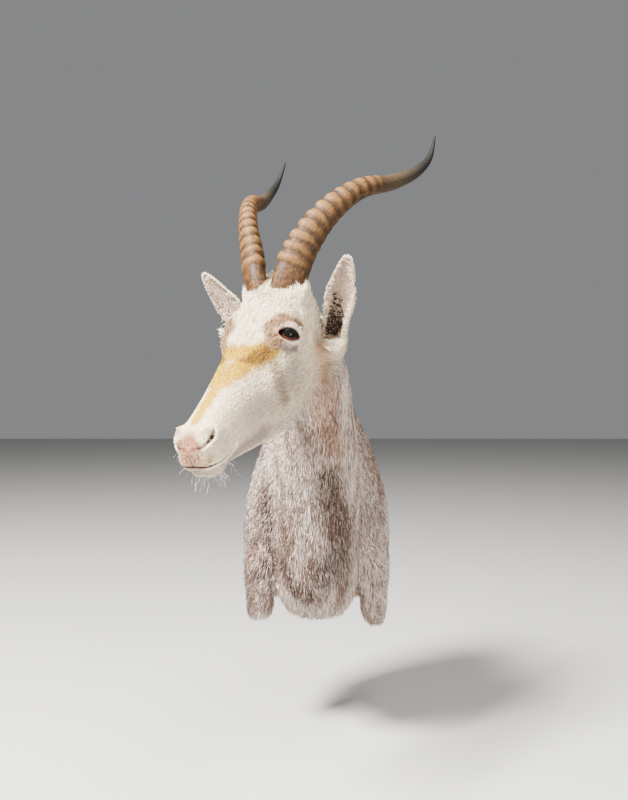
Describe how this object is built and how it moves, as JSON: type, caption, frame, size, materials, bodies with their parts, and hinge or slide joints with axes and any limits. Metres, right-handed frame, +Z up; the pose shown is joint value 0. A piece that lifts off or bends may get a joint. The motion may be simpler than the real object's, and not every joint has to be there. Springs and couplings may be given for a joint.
{
  "type": "white blesbok shoulder mount",
  "caption": "Shoulder mount of a white antelope with its head turned to one side, ringed horns, short coat and a flat back board that hangs on a wall.",
  "frame": {"origin": "centre of the flat wall side of the back board", "axes": "-Y from the wall to the viewer, +Z up, +X towards the animal's left"},
  "size_m": [0.3834, 0.5956, 0.8488],
  "materials": {
    "coat": "short white coat on a soft form, matt",
    "eyes": "dark brown, polished",
    "horn": "ringed horn, dark smooth tips",
    "board": "plain sawn wood"
  },
  "bodies": {
    "root": {"head": "coat", "neck": "coat", "torso": "coat", "foreleg_left": "coat", "foreleg_right": "coat", "ear_left": "coat", "ear_right": "coat", "eye_left": "eyes", "eye_right": "eyes", "horn_left": "horn", "horn_right": "horn", "back_board": "board"}
  },
  "joints": []
}
